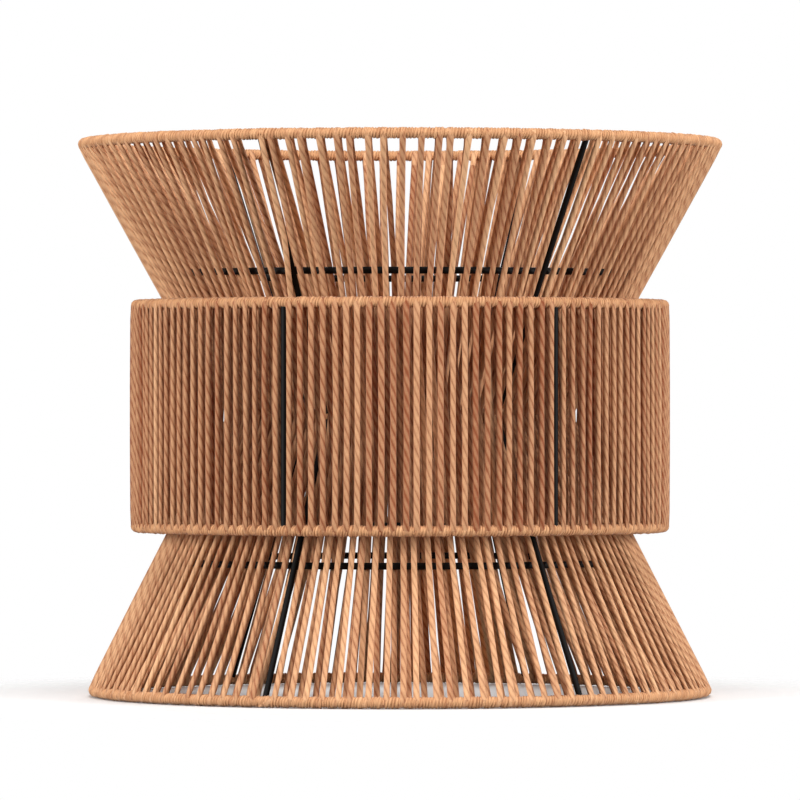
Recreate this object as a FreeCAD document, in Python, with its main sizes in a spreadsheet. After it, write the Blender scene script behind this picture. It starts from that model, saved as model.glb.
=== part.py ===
import FreeCAD, Part
import Sketcher

import math
import os
import re

# A three-tier lamp shade: an hourglass of two wire cones joined at a waist ring, with a wire drum
# round the waist. Every tier is strung with twisted paper cord, wound from ring to ring, and every
# strung ring is bound with thin paper yarn.
# +Z is up. The origin is the centre of the fitter ring's bore, on its underside, where the shade
# sits on the lamp holder. The first row of struts stands on +X, the others every 60 degrees.
# Millimetres and degrees.

doc = FreeCAD.newDocument("lamp_shade")

# ---------------------------------------------------------------- driving dimensions
SIZES = [
    # radii of the ring centrelines
    ("top_radius", 187.7),
    ("bottom_radius", 181.4),
    ("waist_radius", 98.3),
    ("drum_radius", 156.3),
    # levels of the ring centrelines, counted from the fitter's seat
    ("top_level", 228.2),
    ("upper_inner_level", 151.2),
    ("drum_top_level", 132.7),
    ("waist_level", 67.2),
    ("drum_bottom_level", 1.75),
    ("lower_inner_level", -18.7),
    ("bottom_level", -95.2),
    # wires
    ("ring_wire", 4.0),
    ("strut_wire", 3.5),
    ("spoke_wire", 3.0),
    # paper: the yarn binding round a ring, and the strung cord of a tier
    ("binding_across", 6.6),
    ("binding_room", 0.25),
    ("strung_inside", 2.05),
    ("strung_thickness", 2.0),
    ("strung_end_room", 3.5),
    ("strut_room", 2.2),
    # fitter ring, which drops over the collar of the lamp holder
    ("fitter_bore", 41.0),
    ("fitter_across", 54.0),
    ("fitter_thickness", 3.5),
    # struts in one tier
    ("strut_count", 6),
]

sheet = doc.addObject("Spreadsheet::Sheet", "Sizes")
for row, (alias, value) in enumerate(SIZES, start=1):
    sheet.set(f"A{row}", alias)
    sheet.set(f"B{row}", str(value))
    sheet.setAlias(f"B{row}", alias)
doc.recompute()

STRUT_COUNT = int(sheet.get("strut_count"))
STRUT_STEP = 360.0 / STRUT_COUNT
ARM_COUNT = STRUT_COUNT // 2

Y_AXIS = FreeCAD.Vector(0, 1, 0)
Z_AXIS = FreeCAD.Vector(0, 0, 1)

parts = []


def cell(text):
    """Turns every [alias] in a formula into a reference to the sheet."""
    return re.sub(r"\[(\w+)\]", r"Sizes.\1", text)


def bind(thing, **formulas):
    """Binds properties to the sheet; a double underscore in a name stands for a dot."""
    for name, formula in formulas.items():
        thing.setExpression(name.replace("__", "."), cell(formula))


def keep(thing, label):
    """Names a finished sub-part and lists it for export."""
    thing.Label = label
    parts.append(thing)
    return thing


def turned(angle):
    """A turn about the shade's axis."""
    return FreeCAD.Placement(FreeCAD.Vector(), FreeCAD.Rotation(Z_AXIS, angle))


# ---------------------------------------------------------------- wire rings
def wire_ring(label, radius, level):
    """A welded ring of round wire: a torus at one level."""
    ring = doc.addObject("Part::Torus", label)
    bind(ring, Radius1=radius, Radius2="[ring_wire] / 2", Placement__Base__z=level)
    return keep(ring, label)


# The slope of a cone is the change of radius per millimetre of height, and the radius of its
# struts at any level follows from it.
UPPER_SLOPE = "(([top_radius] - [waist_radius]) / ([top_level] - [waist_level]))"
LOWER_SLOPE = "(([bottom_radius] - [waist_radius]) / ([waist_level] - [bottom_level]))"


def upper_radius(level):
    return f"([waist_radius] + {UPPER_SLOPE} * ({level} - [waist_level]))"


def lower_radius(level):
    return f"([waist_radius] + {LOWER_SLOPE} * ([waist_level] - {level}))"


# A bare stiffening ring touches the inner side of the struts.
def inside_struts(radius, slope):
    return f"{radius} - ([ring_wire] + [strut_wire]) / 2 * sqrt(1 + {slope}^2)"


top_ring = wire_ring("top_ring", "[top_radius]", "[top_level]")
waist_ring = wire_ring("waist_ring", "[waist_radius]", "[waist_level]")
bottom_ring = wire_ring("bottom_ring", "[bottom_radius]", "[bottom_level]")
drum_top_ring = wire_ring("drum_top_ring", "[drum_radius]", "[drum_top_level]")
drum_bottom_ring = wire_ring("drum_bottom_ring", "[drum_radius]", "[drum_bottom_level]")
wire_ring(
    "upper_inner_ring",
    inside_struts(upper_radius("[upper_inner_level]"), UPPER_SLOPE),
    "[upper_inner_level]",
)
wire_ring(
    "lower_inner_ring",
    inside_struts(lower_radius("[lower_inner_level]"), LOWER_SLOPE),
    "[lower_inner_level]",
)


# ---------------------------------------------------------------- straight wires
def rod(name, wire, start, end):
    """A straight round wire in the XZ plane, from (radius, level) to (radius, level)."""
    run = f"({end[0]} - {start[0]})"
    rise = f"({end[1]} - {start[1]})"
    blank = doc.addObject("Part::Cylinder", name)
    blank.Placement.Rotation = FreeCAD.Rotation(Y_AXIS, 1)
    bind(
        blank,
        Radius=f"{wire} / 2",
        Height=f"sqrt({run}^2 + {rise}^2)",
        Placement__Base__x=start[0],
        Placement__Base__z=start[1],
        Placement__Rotation__Angle=f"atan2({run} * 1mm; {rise} * 1mm)",
    )
    return blank


def coped(name, base, tool):
    """The base with the tool's shape cut away, so that a wire's end fits the piece it meets."""
    cut = doc.addObject("Part::Cut", name)
    cut.Base = base
    cut.Tool = tool
    return cut


def joined(name, base, tool):
    """Two shapes as one tool."""
    fuse = doc.addObject("Part::Fuse", name)
    fuse.Base = base
    fuse.Tool = tool
    return fuse


def row_of_wires(label, blank, first, second, count):
    """Copies of one wire round the axis, each coped at both ends, as sub-parts of their own."""
    half_done = coped(f"{label}_blank_coped", blank, first)
    for index in range(count):
        wire = coped(f"{label}_{index + 1}", half_done, second)
        wire.Placement = turned(index * 360.0 / count)
        keep(wire, f"{label}_{index + 1}")


WAIST = ("[waist_radius]", "[waist_level]")
upper_blank = rod("upper_strut_blank", "[strut_wire]", WAIST, ("[top_radius]", "[top_level]"))
lower_blank = rod("lower_strut_blank", "[strut_wire]", ("[bottom_radius]", "[bottom_level]"), WAIST)
drum_blank = rod(
    "drum_strut_blank",
    "[strut_wire]",
    ("[drum_radius]", "[drum_bottom_level]"),
    ("[drum_radius]", "[drum_top_level]"),
)
row_of_wires("upper_strut", upper_blank, waist_ring, top_ring, STRUT_COUNT)
row_of_wires("lower_strut", lower_blank, bottom_ring, waist_ring, STRUT_COUNT)
row_of_wires("drum_strut", drum_blank, drum_bottom_ring, drum_top_ring, STRUT_COUNT)

# Short spokes carry the drum's rings on the struts of the two cones. Their outer ends fit the
# ring and the foot or head of the drum strut that stands on it.
drum_top_corner = joined("drum_top_corner", drum_top_ring, drum_blank)
drum_bottom_corner = joined("drum_bottom_corner", drum_bottom_ring, drum_blank)
upper_spoke_blank = rod(
    "upper_spoke_blank",
    "[spoke_wire]",
    (upper_radius("[drum_top_level]"), "[drum_top_level]"),
    ("[drum_radius]", "[drum_top_level]"),
)
lower_spoke_blank = rod(
    "lower_spoke_blank",
    "[spoke_wire]",
    (lower_radius("[drum_bottom_level]"), "[drum_bottom_level]"),
    ("[drum_radius]", "[drum_bottom_level]"),
)
row_of_wires("upper_spoke", upper_spoke_blank, upper_blank, drum_top_corner, STRUT_COUNT)
row_of_wires("lower_spoke", lower_spoke_blank, lower_blank, drum_bottom_corner, STRUT_COUNT)


# ---------------------------------------------------------------- sketched pieces
def origin_feature(body, role):
    return next(item for item in body.Origin.OriginFeatures if item.Role == role)


def new_body(name, level, angle):
    """A body whose own origin lies on the shade's axis at one level, turned about the axis."""
    body = doc.addObject("PartDesign::Body", name)
    body.Placement = turned(angle)
    bind(body, Placement__Base__z=level)
    return body


def new_sketch(body, name, plane):
    sketch = body.newObject("Sketcher::SketchObject", name)
    sketch.AttachmentSupport = [(origin_feature(body, plane), "")]
    sketch.MapMode = "FlatFace"
    return sketch


def outline(sketch, corners):
    """A closed outline with straight sides; each corner is a pair of formulas, both positive."""
    count = len(corners)
    start = [FreeCAD.Vector(math.cos(k), math.sin(k), 0) for k in range(count)]
    for k in range(count):
        sketch.addGeometry(Part.LineSegment(start[k], start[(k + 1) % count]))
    for k in range(count):
        sketch.addConstraint(Sketcher.Constraint("Coincident", k, 2, (k + 1) % count, 1))
    for k, (across, up) in enumerate(corners):
        for kind, formula in (("DistanceX", across), ("DistanceY", up)):
            index = sketch.addConstraint(Sketcher.Constraint(kind, -1, 1, k, 1, 1.0))
            sketch.setExpression(f"Constraints[{index}]", cell(formula))


def circle(sketch, across, up, radius):
    """A circle given by formulas for its centre and radius."""
    centre = FreeCAD.Vector(1, 1, 0)
    shape = sketch.addGeometry(Part.Circle(centre, Z_AXIS, 1))
    index = sketch.addConstraint(Sketcher.Constraint("Radius", shape, 1.0))
    sketch.setExpression(f"Constraints[{index}]", cell(radius))
    for kind, level_line, formula in (("DistanceX", -2, across), ("DistanceY", -1, up)):
        if formula == "0":
            sketch.addConstraint(Sketcher.Constraint("PointOnObject", shape, 3, level_line))
        else:
            index = sketch.addConstraint(Sketcher.Constraint(kind, -1, 1, shape, 3, 1.0))
            sketch.setExpression(f"Constraints[{index}]", cell(formula))


def revolve(body, name, sketch, formula="360"):
    """The sketch turned about the axis, half of the angle each way."""
    turn = body.newObject("PartDesign::Revolution", name)
    turn.Profile = sketch
    turn.ReferenceAxis = (sketch, ["V_Axis"])
    turn.Midplane = True
    bind(turn, Angle=formula)
    return turn


def round_the_axis(body, name, feature, count):
    """The feature repeated at equal angles round the axis."""
    pattern = body.newObject("PartDesign::PolarPattern", name)
    pattern.Originals = [feature]
    pattern.Axis = (origin_feature(body, "Z_Axis"), [""])
    pattern.Angle = 360
    pattern.Occurrences = count
    body.Tip = pattern
    return pattern


# ---------------------------------------------------------------- ring bindings
def ring_binding(label, radius, level):
    """Yarn wound tightly round a ring: a tube along the ring, open where a strut is welded on."""
    body = new_body(label, level, STRUT_STEP / 2)
    body.AllowCompound = True
    sketch = new_sketch(body, f"{label}_section", "XZ_Plane")
    circle(sketch, radius, "0", "[binding_across] / 2")
    circle(sketch, radius, "0", "[ring_wire] / 2 + [binding_room]")
    gap = f"asin([strut_room] / ({radius} - [binding_across] / 2))"
    arc = revolve(body, f"{label}_arc", sketch, f"360 / [strut_count] - 2 * {gap} / 1deg")
    doc.recompute()
    round_the_axis(body, f"{label}_arcs", arc, STRUT_COUNT)
    return keep(body, label)


ring_binding("top_binding", "[top_radius]", "[top_level]")
ring_binding("waist_binding", "[waist_radius]", "[waist_level]")
ring_binding("bottom_binding", "[bottom_radius]", "[bottom_level]")
ring_binding("drum_top_binding", "[drum_radius]", "[drum_top_level]")
ring_binding("drum_bottom_binding", "[drum_radius]", "[drum_bottom_level]")


# ---------------------------------------------------------------- strung tiers
def strung_tier(label, low, high, narrow):
    """The strung surface between two rings: a thin wall just outside the line of the struts.

    low and high are (radius, level). The wall is offset at right angles from the line that joins
    the two ring centrelines, and stops short of the bindings at both ends. It comes in bays, open
    where the struts and spokes are; narrow is the smaller ring's radius, where a bay's sides come
    closest to the struts."""
    run = f"({high[0]} - {low[0]})"
    rise = f"({high[1]} - {low[1]})"
    slant = f"sqrt({run}^2 + {rise}^2)"
    body = new_body(label, low[1], STRUT_STEP / 2)
    body.AllowCompound = True
    sketch = new_sketch(body, f"{label}_section", "XZ_Plane")

    def corner(along, out):
        across = f"{low[0]} + ({along}) * {run} / {slant} + ({out}) * {rise} / {slant}"
        up = f"({along}) * {rise} / {slant} - ({out}) * {run} / {slant}"
        return across, up

    near = "[strung_end_room]"
    far = f"{slant} - [strung_end_room]"
    inner = "[strung_inside]"
    outer = "[strung_inside] + [strung_thickness]"
    outline(
        sketch,
        [corner(near, inner), corner(near, outer), corner(far, outer), corner(far, inner)],
    )
    gap = f"asin([strut_room] / {narrow})"
    bay = revolve(body, f"{label}_bay", sketch, f"360 / [strut_count] - 2 * {gap} / 1deg")
    doc.recompute()
    round_the_axis(body, f"{label}_bays", bay, STRUT_COUNT)
    return keep(body, label)


BOTTOM = ("[bottom_radius]", "[bottom_level]")
TOP = ("[top_radius]", "[top_level]")
DRUM_LOW = ("[drum_radius]", "[drum_bottom_level]")
DRUM_HIGH = ("[drum_radius]", "[drum_top_level]")
strung_tier("lower_strands", BOTTOM, WAIST, "[waist_radius]")
strung_tier("upper_strands", WAIST, TOP, "[waist_radius]")
strung_tier("drum_strands", DRUM_LOW, DRUM_HIGH, "[drum_radius]")

# ---------------------------------------------------------------- fitter and its arms
fitter_ring = new_body("fitter_ring", "0", 0)
fitter_sketch = new_sketch(fitter_ring, "fitter_ring_section", "XY_Plane")
circle(fitter_sketch, "0", "0", "[fitter_across] / 2")
circle(fitter_sketch, "0", "0", "[fitter_bore] / 2")
fitter_plate = fitter_ring.newObject("PartDesign::Pad", "fitter_ring_plate")
fitter_plate.Profile = fitter_sketch
bind(fitter_plate, Length="[fitter_thickness]")
keep(fitter_ring, "fitter_ring")
doc.recompute()

arm_blank = rod(
    "fitter_arm_blank",
    "[spoke_wire]",
    ("([fitter_bore] + [fitter_across]) / 4", "[drum_bottom_level]"),
    (lower_radius("[drum_bottom_level]"), "[drum_bottom_level]"),
)
row_of_wires("fitter_arm", arm_blank, fitter_ring, lower_blank, ARM_COUNT)

# ---------------------------------------------------------------- check and write
doc.recompute()
for thing in doc.Objects:
    if "Invalid" in thing.State or "Error" in thing.State:
        raise RuntimeError(f"{thing.Label} failed: {thing.State}")

os.makedirs("parts", exist_ok=True)
for part in parts:
    shape = part.Shape
    if shape.isNull() or not shape.isValid() or not shape.Solids:
        raise RuntimeError(f"{part.Label} has no valid shape")
    shape.exportStep(f"parts/{part.Label}.step")
    box = shape.BoundBox
    print(
        f"{part.Label}: {len(shape.Solids)} solids, {shape.Volume / 1000:.2f} cm3, "
        f"z {box.ZMin:.2f} to {box.ZMax:.2f}, radius {box.XMax:.2f}"
    )
print(f"{len(parts)} sub-parts written")
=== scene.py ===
# %% [markdown]
# # A lamp shade of strung paper cord
# The shade is a wire frame in three tiers: two cones that meet at a narrow waist, and a drum
# round that waist. The frame comes ready made and exact, so this lesson only adds what a weaver
# adds: twisted paper cord strung from ring to ring, and paper yarn wound tightly round every
# strung ring. Everything is in metres, in the frame's own place, with +Z up and the
# origin where the shade sits on its lamp holder.

# %% Load the wire frame
import math

import bpy
import numpy as np
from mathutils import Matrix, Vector


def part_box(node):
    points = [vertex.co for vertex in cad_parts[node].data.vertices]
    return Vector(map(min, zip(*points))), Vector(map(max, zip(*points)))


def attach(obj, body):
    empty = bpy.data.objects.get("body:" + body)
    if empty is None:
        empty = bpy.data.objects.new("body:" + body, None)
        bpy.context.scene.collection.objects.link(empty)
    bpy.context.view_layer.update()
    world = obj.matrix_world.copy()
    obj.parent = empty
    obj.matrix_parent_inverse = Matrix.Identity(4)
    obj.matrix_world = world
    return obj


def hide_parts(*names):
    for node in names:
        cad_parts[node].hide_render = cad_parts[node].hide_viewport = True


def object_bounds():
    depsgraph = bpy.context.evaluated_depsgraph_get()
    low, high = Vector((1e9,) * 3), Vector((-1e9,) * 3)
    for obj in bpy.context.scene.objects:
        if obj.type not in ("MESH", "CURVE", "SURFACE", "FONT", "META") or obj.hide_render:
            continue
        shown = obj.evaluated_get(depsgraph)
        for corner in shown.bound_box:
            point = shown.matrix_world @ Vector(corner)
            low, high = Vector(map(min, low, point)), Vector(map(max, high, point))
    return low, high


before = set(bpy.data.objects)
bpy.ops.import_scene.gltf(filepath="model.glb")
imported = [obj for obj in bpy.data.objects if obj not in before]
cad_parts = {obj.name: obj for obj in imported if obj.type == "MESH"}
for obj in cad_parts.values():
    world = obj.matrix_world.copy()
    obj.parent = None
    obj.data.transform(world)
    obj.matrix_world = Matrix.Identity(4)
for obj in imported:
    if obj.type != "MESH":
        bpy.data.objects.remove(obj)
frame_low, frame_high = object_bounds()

MM = 0.001
ROOT = "root"
print("frame:", len(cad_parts), "nodes,", [round(x, 4) for x in frame_high - frame_low])

# %% [markdown]
# Every strung ring is a wire hidden inside its binding, so its radius and its level can be read
# from the binding's box. The weaver's numbers are the cord's thickness, how far a cord stands
# off the line between two rings, and how many cords go round a tier. The struts stand every 60
# degrees, and the cords are spaced so that each strut falls in the middle of a gap.

# %% Read the rings, and set the cord
CORD = 3.5 * MM
RING_WIRE = 4.0 * MM
BINDING = 6.6 * MM


def ring_of(node):
    """Radius and level of a ring's centreline: half of the box's width less the binding's
    half thickness, and the middle of the box's height."""
    low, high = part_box(node)
    return (high[0] - low[0]) / 2 - BINDING / 2, (high[2] + low[2]) / 2


top = ring_of("top_binding")
bottom = ring_of("bottom_binding")
waist = ring_of("waist_binding")
drum_top = ring_of("drum_top_binding")
drum_bottom = ring_of("drum_bottom_binding")
for name, ring in (("top", top), ("waist", waist), ("bottom", bottom), ("drum", drum_top)):
    print(f"{name} ring: radius {ring[0] / MM:.1f} mm at {ring[1] / MM:.1f} mm")

# %% [markdown]
# Every new piece ends as a mesh, so the first helper puts arrays of points and faces into one.
# A mesh could be typed in vertex by vertex, but whole arrays handed over at once are far
# quicker. The same helper stores where each corner lies on the cord, and each face's own tone.

# %% Arrays into a mesh


def put_in_mesh(name, points, faces, uv=None, tone=None):
    """Makes a mesh object from points (n, 3) and a list of face arrays, each (m, corners).

    uv is one (u, v) for every corner of every face, and tone one number for every face."""
    mesh = bpy.data.meshes.new(name)
    corners = np.concatenate([f.ravel() for f in faces])
    sizes = np.concatenate([np.full(len(f), f.shape[1]) for f in faces])
    starts = np.concatenate([[0], np.cumsum(sizes)[:-1]])
    mesh.vertices.add(len(points))
    mesh.vertices.foreach_set("co", np.ascontiguousarray(points, dtype=np.float32).ravel())
    mesh.loops.add(len(corners))
    mesh.loops.foreach_set("vertex_index", corners.astype(np.int32))
    mesh.polygons.add(len(sizes))
    mesh.polygons.foreach_set("loop_start", starts.astype(np.int32))
    mesh.update(calc_edges=True)
    mesh.polygons.foreach_set("use_smooth", np.ones(len(sizes), dtype=bool))
    if uv is not None:
        layer = mesh.uv_layers.new(name="lay")
        layer.data.foreach_set("uv", np.ascontiguousarray(uv, dtype=np.float32).ravel())
    if tone is not None:
        shade = mesh.attributes.new("tone", "FLOAT", "FACE")
        shade.data.foreach_set("value", np.ascontiguousarray(tone, dtype=np.float32).ravel())
    mesh.validate()
    piece = bpy.data.objects.new(name, mesh)
    bpy.context.scene.collection.objects.link(piece)
    return piece


# %% [markdown]
# A tier is strung with one long cord, so it is one long tube that closes on itself. It could be
# a curve object with a bevel, but a grid is simpler and carries a twist: a section is moved
# along the path, and all its points are worked out at once. The section is an oval, because
# loose paper cord is round in its free length and is pressed flat where it is pulled over wire.

# %% Carry an oval section along a closed path


def unit(vectors):
    """Each vector divided by its length."""
    return vectors / np.linalg.norm(vectors, axis=-1, keepdims=True)


def tube(name, path, side, wide, deep, tone, lay, sides=8):
    """A tube along a closed path (rows, 3).

    A row's section is centre + wide cos a * side + deep sin a * up, where up is the path's
    direction crossed with side. u counts turns round the cord, and v the length along it in
    lays of the twist."""
    rows = len(path)
    along = unit(np.roll(path, -1, axis=0) - np.roll(path, 1, axis=0))
    side = unit(side - (side * along).sum(-1, keepdims=True) * along)
    up = np.cross(along, side)
    angle = (np.arange(sides) * 2 * math.pi / sides)[:, None]
    across = (wide[:, None] * side)[:, None]
    through = (deep[:, None] * up)[:, None]
    points = path[:, None] + np.cos(angle) * across + np.sin(angle) * through
    index = np.arange(rows * sides).reshape(rows, sides)
    ahead = np.roll(index, -1, axis=0)
    quads = np.stack(
        [index, np.roll(index, -1, axis=1), np.roll(ahead, -1, axis=1), ahead], axis=-1
    )
    step = np.linalg.norm(np.roll(path, -1, axis=0) - path, axis=-1)
    v1 = np.broadcast_to((np.cumsum(step) / lay)[:, None], index.shape)
    v0 = v1 - (step / lay)[:, None]
    u0 = np.broadcast_to(np.arange(sides) / sides, index.shape)
    u1 = u0 + 1 / sides
    uv = np.stack([u0, v0, u1, v0, u1, v1, u0, v1], axis=-1).reshape(-1, 2)
    shade = np.repeat(tone, sides)
    piece = put_in_mesh(name, points.reshape(-1, 3), [quads.reshape(-1, 4)], uv, shade)
    print(f"{name}: {step.sum():.1f} m of cord in {len(quads)} rows")
    return piece


# %% [markdown]
# The cord goes up outside the frame, over the upper ring, down inside to the next place, under
# the lower ring and up again. So every tier has two layers: the outer runs are upright, and the
# inner ones slant across the gaps, which is why the drum looks almost solid. In each bay between
# two struts the last inner run stays upright, so that it doesn't cross the strut. A bare ring
# inside the struts pushes the inner runs of the two cones inwards.

# %% The outline of one turn of cord
STRUTS = 6
HUG = RING_WIRE / 2 + 0.65 * MM
STAND_OFF = 2.3 * MM
EASE = 9.0 * MM
LOWER_POINT, UPPER_POINT = 0.36, 0.64
PRESSED = (1.12, 0.43)
EASING = (1.02, 0.85)
FREE = (1.0, 1.0)


def turn_outline(low, high, high_hug, bare):
    """One turn of cord as rows of (radius, level, width, depth, to the foot, to the next).

    The first four place a point and size its oval. The last two say where the point lies round
    the shade: 0, 0 at the turn's own place, 1, 0 at the foot of its inner run, and 0, 1 at the
    next turn's place. Over a ring the cord follows an arc about the ring's centreline; between
    rings it lies a little off the line of the ring centres, outside it and then inside it."""
    run, rise = high[0] - low[0], high[1] - low[1]
    slant = math.hypot(run, rise)
    outward = math.atan2(-run, rise)
    rows = []

    def over(ring, hug, angle, foot=0.0, following=0.0):
        radius = ring[0] + hug * math.cos(outward + angle)
        level = ring[1] + hug * math.sin(outward + angle)
        rows.append((radius, level, *PRESSED, foot, following))

    def beside(share, off, section, foot=0.0):
        radius = low[0] + share * run + off * math.cos(outward)
        level = low[1] + share * rise + off * math.sin(outward)
        rows.append((radius, level, *section, foot, 0.0))

    ease = EASE / slant
    inner = [(1 - ease, -STAND_OFF, EASING), (UPPER_POINT, -STAND_OFF, FREE)]
    inner += [(LOWER_POINT, -STAND_OFF, FREE), (ease, -STAND_OFF, EASING)]
    if bare:
        share = (bare[1] - low[1]) / rise
        straight = low[0] + share * run
        push = (straight - bare[0]) * math.cos(outward) + (RING_WIRE + CORD) / 2
        inner[1] = ((1 + share) / 2, -(STAND_OFF + push) / 2, FREE)
        inner[2] = (share, -push, FREE)
        inner.insert(3, (share / 2, -(STAND_OFF + push) / 2, FREE))
    over(low, HUG, 0.0)
    beside(ease, STAND_OFF, EASING)
    beside(LOWER_POINT, STAND_OFF, FREE)
    beside(UPPER_POINT, STAND_OFF, FREE)
    beside(1 - ease, STAND_OFF, EASING)
    for share in (0, 1 / 3, 2 / 3, 1):
        over(high, high_hug, share * math.pi)
    for share, off, section in inner:
        beside(share, off, section, 1 - share)
    over(low, HUG, -math.pi, 1.0, 0.0)
    over(low, HUG, -math.pi * 2 / 3, 2 / 3, 1 / 3)
    over(low, HUG, -math.pi / 3, 1 / 3, 2 / 3)
    return np.array(rows)


# %% [markdown]
# Nothing strung by hand is regular: a run leans a little, or bows where it is slack, and no two
# lengths are quite as thick or as light. The drum is strung more evenly than the cones, and its
# inner runs slant further. Its cord is coloured darker as painted shade, for the dimmer light on
# the upright drum. At one strut of the upper cone the nearest cord leans across the wire and
# hides its upper part.

# %% String the three tiers
LAY = 8.0 * MM
LIFT = 1.3 * MM
LIFTED_FROM, LIFTED_TO = 0.3, 0.97
LEANS_PAST = 0.2
OUTER_BOW, INNER_BOW = 8.0 * MM, 14.0 * MM
STEADIED = 0.2
SLACK = 0.35 * MM
ODD_SIZE = 0.045
WAIST_HUG = 3.9 * MM
CONE = {"count": 120, "uneven": 0.09, "shy": 0.24, "slant": 0.45}
# The drum's shade below nought colours its cord darker: painted shade.
DRUM = {"count": 144, "uneven": 0.035, "shy": 0.13, "slant": 1.0, "shade": -1.6}


def string_tier(
    name,
    low,
    high,
    count,
    seed,
    uneven,
    shy,
    slant,
    shade=0.0,
    over=(),
    high_hug=HUG,
    bare=None,
    step_inside=False,
):
    """A tier's cord: the turn's outline set at every place round the shade, one after another.

    Row angle = own place + share to the foot * (foot - place) + share to the next * (next -
    place), plus a bow that is nought at the rings; slack cord bellies inwards. uneven is how far
    cords stray, as a part of their spacing, and shy * spacing more than usual is left beside
    each strut. At a strut numbered in over, the last cord before it leans across it towards the
    high ring, lifted clear of the wire. shade shifts a whole tier's tone; below nought it is
    painted shade, as on the drum.
    With step_inside a cord that passes a strut does so on the inner side of the low ring,
    because other struts leave that ring below."""
    chance = np.random.default_rng(seed)
    radius, level, width, depth, foot, following = turn_outline(low, high, high_hug, bare).T
    rows = len(radius)
    spacing = 2 * math.pi / count
    number = np.arange(count)
    per_bay = count // STRUTS
    first_in_bay = number % per_bay == 0
    last_in_bay = np.roll(first_in_bay, -1)
    beside_strut = first_in_bay | last_in_bay
    crowded = (number % per_bay + 0.5) * (per_bay - 2 * shy) / per_bay + shy
    shift = np.where(beside_strut, 0.0, chance.normal(0, uneven, count))
    place = (number // per_bay * per_bay + crowded + shift) * spacing
    step = np.roll(place, -1) - place
    step[-1] += 2 * math.pi
    to_foot = np.where(last_in_bay, 0.0, slant * step)
    lean = np.zeros((count, 1))
    for strut in over:
        last = strut * per_bay - 1
        lean[last] = (strut * per_bay + LEANS_PAST) * spacing - place[last]
    share = np.clip((level - low[1]) / (high[1] - low[1]), 0, 1)
    belly = np.sin(math.pi * share)
    inside = np.arange(rows) > rows // 2
    wander = np.where(inside, INNER_BOW, OUTER_BOW)
    bow = uneven * wander * chance.normal(0, 1, (count, 2))[:, inside.astype(int)]
    bow[beside_strut] *= STEADIED
    slack = np.abs(chance.normal(0, SLACK, (count, 1)))
    passing = last_in_bay[:, None] & step_inside
    moved_on = np.where(passing, np.ceil(following), following)
    angle = place[:, None] + foot * to_foot[:, None] + moved_on * step[:, None]
    leant = np.clip((share - LOWER_POINT) / (UPPER_POINT - LOWER_POINT), 0, 1)
    angle = angle + bow * belly / radius + lean * leant
    lifted = (lean > 0) & (share > LIFTED_FROM) & (share < LIFTED_TO)
    away = radius - slack * belly + LIFT * lifted * np.where(inside, -1, 1)
    height = np.broadcast_to(level, away.shape)
    path = np.stack([away * np.cos(angle), away * np.sin(angle), height], axis=-1)
    side = np.stack([-np.sin(angle), np.cos(angle), np.zeros_like(angle)], axis=-1)
    size = CORD / 2 * (1 + chance.normal(0, ODD_SIZE, (count, 1)))
    # Each length's tone is its own, at random, shifted by the tier's shade, which is painted
    # shade.
    tone = chance.normal(shade, 1.0, (count, 2))[:, inside.astype(int)]
    return tube(
        name,
        path.reshape(-1, 3),
        side.reshape(-1, 3),
        (size * width).ravel(),
        (size * depth).ravel(),
        tone.ravel(),
        LAY,
    )


def bare_ring(node):
    """Radius and level of a bare wire ring, from its box."""
    low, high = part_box(node)
    return (high[0] - low[0]) / 2 - RING_WIRE / 2, (high[2] + low[2]) / 2


upper_bare, lower_bare = bare_ring("upper_inner_ring"), bare_ring("lower_inner_ring")
upper_cord = string_tier(
    "upper_cord", waist, top, seed=11, **CONE, over=(4,), bare=upper_bare, step_inside=True
)
lower_cord = string_tier(
    "lower_cord", bottom, waist, seed=12, **CONE, high_hug=WAIST_HUG, bare=lower_bare
)
drum_cord = string_tier("drum_cord", drum_bottom, drum_top, seed=13, **DRUM)

# %% [markdown]
# Between the strung cords the ring is bound with turns of thin paper yarn, so that no wire
# shows. A helix of its own for each ring would be a very long tube. Seen close, though, a
# binding is one tube with a groove between every two turns, so it is made as that: a tube round
# the ring whose radius swells once per turn. The grid follows the slant of the turns, so every
# groove runs along a row of points and stays crisp.

# %% Bind a ring
YARN = 1.9 * MM
GROOVE = 0.42
ODD_TURN = 0.10
STRAY_TURN = 0.16


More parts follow.
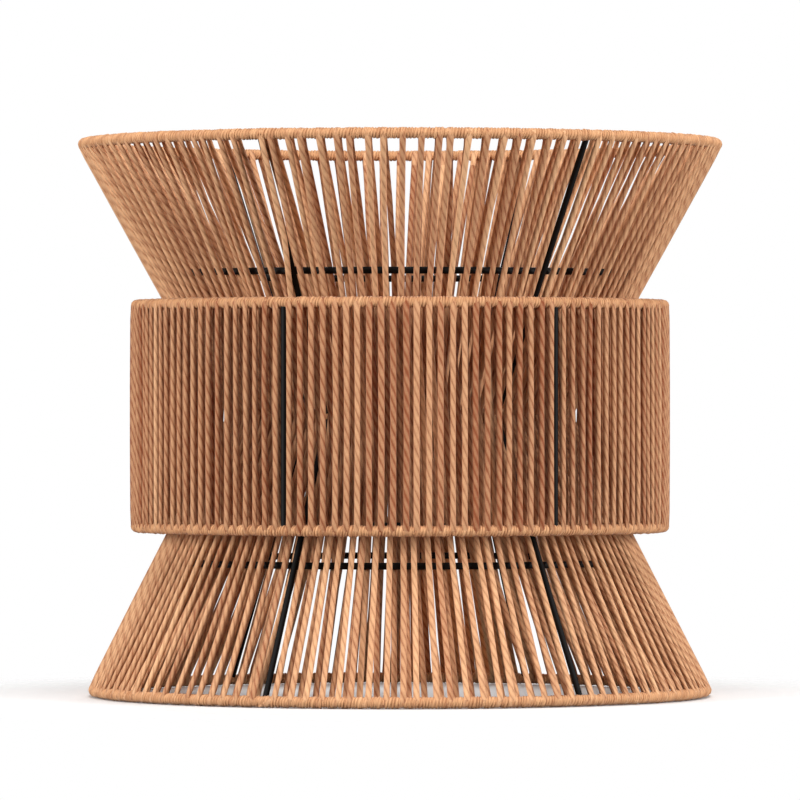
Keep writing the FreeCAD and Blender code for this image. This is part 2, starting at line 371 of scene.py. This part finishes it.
def bind_ring(name, ring, seed, samples=6, sides=12):
    """A ring's binding: tube radius = wire radius + swell, where the swell is a round back,
    sqrt(1 - s*s), with s from -1 to 1 across each turn.

    Point (i, j) lies at turn i / samples, at the angle j / sides of a circle round the wire; a
    whole circle moves on by one turn, so the last row of points joins the first one turn on."""
    chance = np.random.default_rng(seed)
    turns = int(round(2 * math.pi * ring[0] / YARN))
    count = turns * samples
    i, j = np.meshgrid(np.arange(count), np.arange(sides), indexing="ij")
    phase = i / samples
    across = 2 * (phase % 1.0) - 1
    uneven = 1 + ODD_TURN * chance.normal(0, 1, turns)[(i // samples) % turns]
    back = np.sqrt(1 - 0.96 * across**2)
    swell = (BINDING - RING_WIRE) / 2 * (GROOVE + (1 - GROOVE) * back) * uneven
    wander = STRAY_TURN * chance.normal(0, 1, turns)
    wander = np.interp(np.arange(count) / samples, np.arange(turns), wander, period=turns)
    angle = 2 * math.pi * (phase + wander[:, None] - j / sides) / turns
    around = 2 * math.pi * j / sides
    thick = RING_WIRE / 2 + swell
    away = ring[0] - thick * np.cos(around)
    points = np.stack(
        [away * np.cos(angle), away * np.sin(angle), ring[1] + thick * np.sin(around)], axis=-1
    )
    index = np.arange(count * sides).reshape(count, sides)
    wide = np.concatenate([index, np.roll(index[:, :1], samples, axis=0)], axis=1)
    ahead = np.roll(wide, -1, axis=0)
    quads = np.stack([wide[:, :-1], ahead[:, :-1], ahead[:, 1:], wide[:, 1:]], axis=-1)
    u = (i % samples) / samples * 0.5
    u_next = u + 0.5 / samples
    turn_length = math.pi * (BINDING + RING_WIRE) / 2 / LAY
    v = (i // samples + j / sides) * turn_length
    v_next = v + turn_length / sides
    uv = np.stack([u, v, u_next, v, u_next, v_next, u, v_next], axis=-1).reshape(-1, 2)
    tone = chance.normal(0, 0.7, turns)[(i // samples) % turns]
    piece = put_in_mesh(name, points.reshape(-1, 3), [quads.reshape(-1, 4)], uv, tone.ravel())
    print(f"{name}: {turns} turns")
    return piece


RINGS = {
    "top_turns": ("top_binding", top, 21),
    "waist_turns": ("waist_binding", waist, 22),
    "bottom_turns": ("bottom_binding", bottom, 23),
    "drum_top_turns": ("drum_top_binding", drum_top, 24),
    "drum_bottom_turns": ("drum_bottom_binding", drum_bottom, 25),
}
bindings = {name: bind_ring(name, ring, seed) for name, (_, ring, seed) in RINGS.items()}

# %% [markdown]
# Twisted paper cord is matt and a little fibrous. Its colour isn't even: each length has a tone
# of its own, the paper is mottled, and painted shade darkens the grooves between the plies.
# The pattern has to follow the cord, so it reads the cord's own u and v. A material is a tree of
# nodes, and a small helper keeps the trees short enough to read.

# %% Nodes in a few words


class Nodes:
    """A small helper: node(kind, inputs, settings) adds a node and links or sets its inputs."""

    def __init__(self, name):
        self.material = bpy.data.materials.new(name)
        self.material.use_nodes = True
        self.tree = self.material.node_tree
        self.tree.nodes.clear()

    def node(self, kind, inputs=None, **settings):
        made = self.tree.nodes.new(kind)
        for key, value in settings.items():
            setattr(made, key, value)
        for key, value in (inputs or {}).items():
            if isinstance(value, bpy.types.NodeSocket):
                self.tree.links.new(value, made.inputs[key])
            else:
                made.inputs[key].default_value = value
        return made

    def math(self, operation, first, second=0.0, third=0.0):
        made = self.node("ShaderNodeMath", {0: first, 1: second, 2: third}, operation=operation)
        return made.outputs[0]

    def noise(self, vector, scale, detail):
        inputs = {"Vector": vector, "Scale": scale, "Detail": detail}
        return self.node("ShaderNodeTexNoise", inputs).outputs["Fac"]

    def mix(self, share, first, second):
        made = self.node("ShaderNodeMix", data_type="RGBA")
        for socket, value in ((0, share), (6, first), (7, second)):
            if isinstance(value, bpy.types.NodeSocket):
                self.tree.links.new(value, made.inputs[socket])
            else:
                made.inputs[socket].default_value = value
        return made.outputs[2]

    def surface(self, shader):
        self.node("ShaderNodeOutputMaterial", {"Surface": shader.outputs[0]})
        return self.material


def paint(red, green, blue):
    """A paint-chart colour, 0 to 255, as the linear colour that the shader takes."""
    chart = np.array([red, green, blue]) / 255
    linear = np.where(chart <= 0.04045, chart / 12.92, ((chart + 0.055) / 1.055) ** 2.4)
    return (*[float(x) for x in linear], 1.0)


# %% [markdown]
# The share of the light colour is a sum: how high the place lies on its ply, which paints shade
# into the grooves, plus fine fibre, plus a broad mottle, plus the tone of this length of cord.
# The same height drives a bump.

# %% Twisted paper


def twisted_paper(name, light, dark, plies=3):
    """Twisted paper: grooves where plies * u + v is whole sink, and are painted darker as shade.
    """
    m = Nodes(name)
    lay = m.node("ShaderNodeUVMap", uv_map="lay").outputs[0]
    place = m.node("ShaderNodeTexCoord").outputs["Object"]
    u, v = m.node("ShaderNodeSeparateXYZ", {0: lay}).outputs[:2]
    tone = m.node("ShaderNodeAttribute", attribute_name="tone").outputs["Fac"]
    turned = m.math("MULTIPLY_ADD", u, float(plies), v)
    wave = m.math("ABSOLUTE", m.math("SINE", m.math("MULTIPLY", turned, math.pi)))
    # The ply height is nought in the grooves: it shapes the bump, and in the colour it is painted
    # shade.
    ply_height_and_groove_shade = m.math("POWER", wave, 0.5)
    fibre = m.noise(place, 2600.0, 4.0)
    mottle = m.noise(place, 170.0, 2.0)
    share = m.math("MULTIPLY_ADD", ply_height_and_groove_shade, 0.62, m.math("MULTIPLY_ADD", fibre, 0.55, -0.2))
    share = m.math("MULTIPLY_ADD", mottle, 0.5, m.math("SUBTRACT", share, 0.2))
    share = m.math("MULTIPLY_ADD", tone, 0.13, share)
    clamp = m.node("ShaderNodeClamp", {0: share}).outputs[0]
    colour = m.mix(clamp, dark, light)
    height = m.math("MULTIPLY_ADD", ply_height_and_groove_shade, 1.0, m.math("MULTIPLY", fibre, 0.35))
    bump = m.node("ShaderNodeBump", {"Height": height, "Strength": 0.6, "Distance": 0.25 * MM})
    shader = m.node(
        "ShaderNodeBsdfPrincipled",
        {"Base Color": colour, "Roughness": 0.82, "Normal": bump.outputs[0]},
    )
    shader.inputs["Specular IOR Level"].default_value = 0.25
    shader.inputs["Sheen Weight"].default_value = 0.15
    shader.inputs["Sheen Roughness"].default_value = 0.5
    return m.surface(shader)


# The dark colour is both the paper's own darker tone and the painted shade in the ply grooves.
strung_paper = twisted_paper("strung_paper", paint(236, 184, 138), paint(142, 74, 40))
bound_paper = twisted_paper("bound_paper", paint(232, 178, 130), paint(158, 92, 52))

# %% [markdown]
# The frame is steel wire with a matt black powder coat. Such a coat is slightly orange-peeled,
# and it wears to a softer grey in random patches, so its roughness and its height vary finely.

# %% Powder coat


def powder_coat(name, colour, peel):
    """Matt black coat: a fine bump for the peel and a coarse change of roughness."""
    m = Nodes(name)
    place = m.node("ShaderNodeTexCoord").outputs["Object"]
    grain = m.noise(place, peel, 2.0)
    cloud = m.noise(place, 60.0, 2.0)
    rough = m.math("MULTIPLY_ADD", cloud, 0.2, 0.55)
    tint = m.mix(cloud, colour, tuple([min(1.0, c * 1.7) for c in colour[:3]]) + (1.0,))
    bump = m.node("ShaderNodeBump", {"Height": grain, "Strength": 0.25, "Distance": 0.08 * MM})
    shader = m.node(
        "ShaderNodeBsdfPrincipled",
        {"Base Color": tint, "Roughness": rough, "Normal": bump.outputs[0]},
    )
    shader.inputs["Specular IOR Level"].default_value = 0.2
    return m.surface(shader)


black_wire = powder_coat("black_wire", paint(11, 10, 10), 1800.0)
black_plate = powder_coat("black_plate", paint(13, 12, 12), 1200.0)

# %% [markdown]
# Where bare wires meet, they are welded. A bead is a small uneven blob, so each one here is an
# ellipsoid set into the joint, with its size and its outline changed a little by chance. The
# joints lie on the line of the struts: at the two bare rings, at both ends of the fitter's
# three arms, and where the short wires that carry the drum leave the struts.

# %% Weld beads
STRUT_WIRE = 3.5 * MM
RING_BEAD = (3.1 * MM, 1.5 * MM, 2.3 * MM)
WIRE_BEAD = (2.2 * MM, 1.6 * MM, 2.4 * MM)
PLATE_BEAD = (2.7 * MM, 1.7 * MM, 1.9 * MM)


def on_strut(level, low, high):
    """The radius of a strut at a level: a straight line from the low ring to the high one."""
    return low[0] + (high[0] - low[0]) * (level - low[1]) / (high[1] - low[1])


def beads(name, joints, seed, rows=7, sides=14):
    """Ellipsoids: centre + a cos p cos q * sideways + b cos p sin q * out + c sin p * up.

    A joint is (radius, level, degrees round the shade, a, b, c)."""
    chance = np.random.default_rng(seed)
    joints = np.array(joints)
    total = len(joints)
    radius, level, turn = joints[:, 0], joints[:, 1], np.radians(joints[:, 2])
    out = np.stack([np.cos(turn), np.sin(turn), 0 * turn], axis=-1)
    sideways = np.stack([-np.sin(turn), np.cos(turn), 0 * turn], axis=-1)
    upward = np.array([0, 0, 1])
    centre = out * radius[:, None] + upward * level[:, None]
    size = joints[:, 3:] * (1 + chance.normal(0, 0.06, (total, 1)))
    p = np.radians(np.linspace(-68, 68, rows))[:, None]
    q = (np.arange(sides) * 2 * math.pi / sides)[None]
    phase = chance.uniform(0, 6, (total, 1, 1))
    ripple = 1 + 0.07 * np.sin(3 * q + phase) * np.cos(2 * p + phase)
    a, b, c = (size[:, k, None, None] * ripple for k in range(3))
    points = centre[:, None, None] + (c * np.sin(p))[..., None] * upward
    points = points + (a * np.cos(p) * np.cos(q))[..., None] * sideways[:, None, None]
    points = points + (b * np.cos(p) * np.sin(q))[..., None] * out[:, None, None]
    ends = centre[:, None] + np.array([[0, 0, -1], [0, 0, 1]]) * size[:, 2, None, None]
    each = rows * sides
    index = np.arange(total * each).reshape(total, rows, sides)
    after = np.roll(index, -1, axis=2)
    quads = np.stack([index[:, :-1], after[:, :-1], after[:, 1:], index[:, 1:]], axis=-1)
    foot = np.broadcast_to(total * each + 2 * np.arange(total)[:, None], (total, sides))
    feet = np.stack([foot, after[:, 0], index[:, 0]], axis=-1)
    heads = np.stack([foot + 1, index[:, -1], after[:, -1]], axis=-1)
    corners = np.concatenate([points.reshape(-1, 3), ends.reshape(-1, 3)])
    print(f"{name}: {total} beads")
    return put_in_mesh(
        name, corners, [quads.reshape(-1, 4), feet.reshape(-1, 3), heads.reshape(-1, 3)]
    )


fitter_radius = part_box("fitter_ring")[1][0]
joints = []
for strut in range(STRUTS):
    degrees = strut * 360 / STRUTS
    for ring in (upper_bare, lower_bare):
        joints.append((ring[0] + RING_WIRE / 2, ring[1], degrees, *RING_BEAD))
    upper_leaves = on_strut(drum_top[1], waist, top) + STRUT_WIRE / 2
    lower_leaves = on_strut(drum_bottom[1], bottom, waist) + STRUT_WIRE / 2
    joints.append((upper_leaves, drum_top[1], degrees, *WIRE_BEAD))
    joints.append((lower_leaves, drum_bottom[1], degrees, *WIRE_BEAD))
    if strut % 2 == 0:
        arm_end = lower_leaves - STRUT_WIRE
        joints.append((arm_end, drum_bottom[1], degrees, *WIRE_BEAD))
        joints.append((fitter_radius, drum_bottom[1], degrees, *PLATE_BEAD))
welds = beads("welds", joints, 21)

# %% [markdown]
# The plain walls and tubes that the frame carries as stand-ins for cord are hidden, and the
# cords take their places. Nothing on this shade moves, so every piece rides on the one body.

# %% Dress the frame
TIERS = {
    "upper_strands": upper_cord,
    "drum_strands": drum_cord,
    "lower_strands": lower_cord,
}
for node, piece in TIERS.items():
    piece.data.materials.append(strung_paper)
    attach(piece, ROOT)
    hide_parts(node)
for name, piece in bindings.items():
    piece.data.materials.append(bound_paper)
    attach(piece, ROOT)
    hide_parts(RINGS[name][0])
welds.data.materials.append(black_wire)
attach(welds, ROOT)
for name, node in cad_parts.items():
    coat = black_plate if name == "fitter_ring" else black_wire
    node.data.materials.clear()
    node.data.materials.append(coat)

# %% [markdown]
# The camera stands about level with the middle of the drum, four metres away, so the rings are
# seen almost edge on. The long lens fills the picture with the shade.

# %% Camera
CAMERA_TURN = math.radians(-4.8)
CAMERA_AWAY = 4.13
CAMERA_LEVEL = 76.7 * MM
LENS = 313
SENSOR = 36
camera = bpy.data.objects.new("camera", bpy.data.cameras.new("camera"))
bpy.context.scene.collection.objects.link(camera)
camera.location = (
    CAMERA_AWAY * math.sin(CAMERA_TURN),
    -CAMERA_AWAY * math.cos(CAMERA_TURN),
    CAMERA_LEVEL,
)
camera.rotation_euler = (math.radians(90), 0, CAMERA_TURN)
camera.data.lens = LENS
camera.data.sensor_width = SENSOR
bpy.context.scene.camera = camera

# %% [markdown]
# The shade stands on a plain pale floor in a pale room. The floor is a round sheet that fades
# out away from the shade, so no edge shows, and it can be looked through from below. It looks
# pale, but throws little light back, because light from below would fill the gaps in the drum.

# %% Floor
FLOOR_LEVEL = frame_low[2] - 0.45 * MM
FLOOR_RADIUS = 0.5
FADE_FROM, FADE_TO = 0.19, 0.42
THROWN_BACK, LOOKED_AT = 0.25, 0.92


def round_floor(rings=24, spokes=96):
    """A flat disc: point (i, j) at radius FLOOR_RADIUS * i / rings and angle j / spokes of a
    circle."""
    i, j = np.meshgrid(np.arange(1, rings + 1), np.arange(spokes), indexing="ij")
    radius = FLOOR_RADIUS * i / rings
    turn = 2 * math.pi * j / spokes
    flat = np.stack([radius * np.cos(turn), radius * np.sin(turn), 0 * turn + FLOOR_LEVEL], -1)
    points = np.concatenate([flat.reshape(-1, 3), [[0, 0, FLOOR_LEVEL]]])
    index = np.arange(rings * spokes).reshape(rings, spokes)
    after = np.roll(index, -1, axis=1)
    quads = np.stack([index[:-1], index[1:], after[1:], after[:-1]], axis=-1)
    centre = np.full(spokes, rings * spokes)
    fan = np.stack([centre, index[0], after[0]], axis=-1)
    return put_in_mesh("floor", points, [quads.reshape(-1, 4), fan])


def pale_sheet():
    """Matt and pale, clear beyond FADE_TO from the middle, and clear when seen from below."""
    m = Nodes("pale_floor")
    place = m.node("ShaderNodeTexCoord").outputs["Object"]
    away = m.node("ShaderNodeVectorMath", {0: place}, operation="LENGTH").outputs["Value"]
    fade = m.node(
        "ShaderNodeMapRange",
        {"Value": away, "From Min": FADE_FROM, "From Max": FADE_TO},
        interpolation_type="SMOOTHERSTEP",
    ).outputs[0]
    looked_at = m.node("ShaderNodeLightPath").outputs["Is Camera Ray"]
    tone = m.node(
        "ShaderNodeMapRange", {"Value": looked_at, "To Min": THROWN_BACK, "To Max": LOOKED_AT}
    ).outputs[0]
    pale = m.node("ShaderNodeBsdfDiffuse", {"Color": tone}).outputs[0]
    clear = m.node("ShaderNodeBsdfTransparent").outputs[0]
    below = m.node("ShaderNodeNewGeometry").outputs["Backfacing"]
    see_through = m.math("MAXIMUM", fade, below)
    return m.surface(m.node("ShaderNodeMixShader", {0: see_through, 1: pale, 2: clear}))


floor = round_floor()
floor.data.materials.append(pale_sheet())

# %% [markdown]
# Two soft lights stand a little above the shade to the left and the right, a third hangs over
# it, and a fourth lights its back. Light from the sides can't pass between the cords, so the
# gaps stay deep and dark. The room is white to look at, but it only lights the shade dimly.

# %% Lights and room
ROOM_LIGHT = 0.13


def soft_light(name, turn, rise, away, size, power):
    """A square soft light facing the shade: turn degrees round from the camera's side, rise
    degrees up, and away metres off."""
    lamp = bpy.data.lights.new(name, "AREA")
    lamp.size = size
    lamp.energy = power
    holder = bpy.data.objects.new(name, lamp)
    bpy.context.scene.collection.objects.link(holder)
    a, e = math.radians(turn), math.radians(rise)
    back = Vector((math.sin(a) * math.cos(e), -math.cos(a) * math.cos(e), math.sin(e)))
    holder.location = back * away
    holder.rotation_euler = back.to_track_quat("Z", "Y").to_euler()


def pale_room(strength):
    """A world that looks white, and lights the shade by strength only."""
    world = bpy.data.worlds.new("room")
    bpy.context.scene.world = world
    world.use_nodes = True
    room = world.node_tree
    seen = room.nodes["Background"]
    seen.inputs["Color"].default_value = (1, 1, 1, 1)
    bounce = room.nodes.new("ShaderNodeBackground")
    bounce.inputs["Strength"].default_value = strength
    rays = room.nodes.new("ShaderNodeLightPath")
    pick = room.nodes.new("ShaderNodeMixShader")
    room.links.new(rays.outputs["Is Camera Ray"], pick.inputs[0])
    room.links.new(bounce.outputs[0], pick.inputs[1])
    room.links.new(seen.outputs[0], pick.inputs[2])
    room.links.new(pick.outputs[0], room.nodes["World Output"].inputs[0])


soft_light("left_light", -60, 12, 2.6, 1.2, 62)
soft_light("right_light", 56, 12, 2.6, 1.2, 62)
soft_light("top_light", 0, 70, 2.6, 1.4, 40)
soft_light("back_light", 172, 24, 2.6, 1.4, 46)
pale_room(ROOM_LIGHT)
bpy.context.scene.view_settings.view_transform = "Standard"
